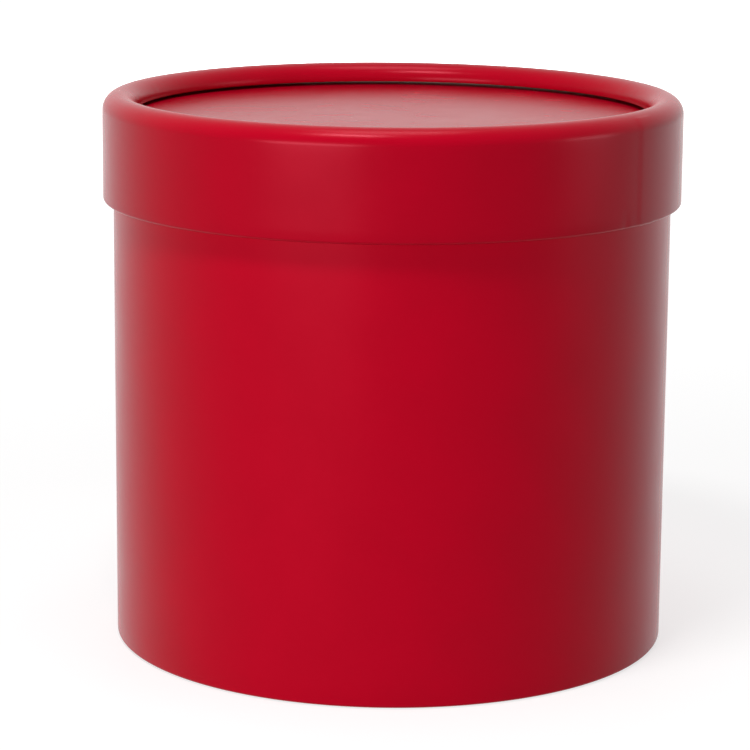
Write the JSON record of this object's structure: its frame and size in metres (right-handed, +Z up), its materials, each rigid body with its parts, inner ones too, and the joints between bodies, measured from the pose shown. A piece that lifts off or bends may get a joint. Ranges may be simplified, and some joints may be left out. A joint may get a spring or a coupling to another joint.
{
  "type": "round gift box",
  "caption": "Round wrapped-board gift box with a straight body and a lift-off telescoping lid whose top edge is curled in round a recessed panel.",
  "frame": {"origin": "centre of the base, on the surface that the box stands on", "axes": "+Z up along the axis of the round body, the way the lid lifts; -Y is the front, and the lid's seam lies right of it"},
  "size_m": [0.16, 0.16, 0.153],
  "materials": {
    "wrapping_paper": "satin",
    "lining_paper": "matte",
    "greyboard": "matte"
  },
  "bodies": {
    "body": {"body_tube": "greyboard", "body_wrap": "wrapping_paper", "body_lining": "lining_paper", "base_board": "greyboard", "base_floor_paper": "lining_paper", "base_cover_paper": "wrapping_paper"},
    "lid": {"lid_tube": "greyboard", "lid_wrap": "wrapping_paper", "lid_lining": "lining_paper", "lid_board": "greyboard", "lid_top_paper": "wrapping_paper", "lid_under_paper": "lining_paper"}
  },
  "joints": [
    {"name": "lid_lift", "type": "slide", "parent": "body", "child": "lid", "axis": [0, 0, 1], "range_m": [0, 0.18]}
  ]
}
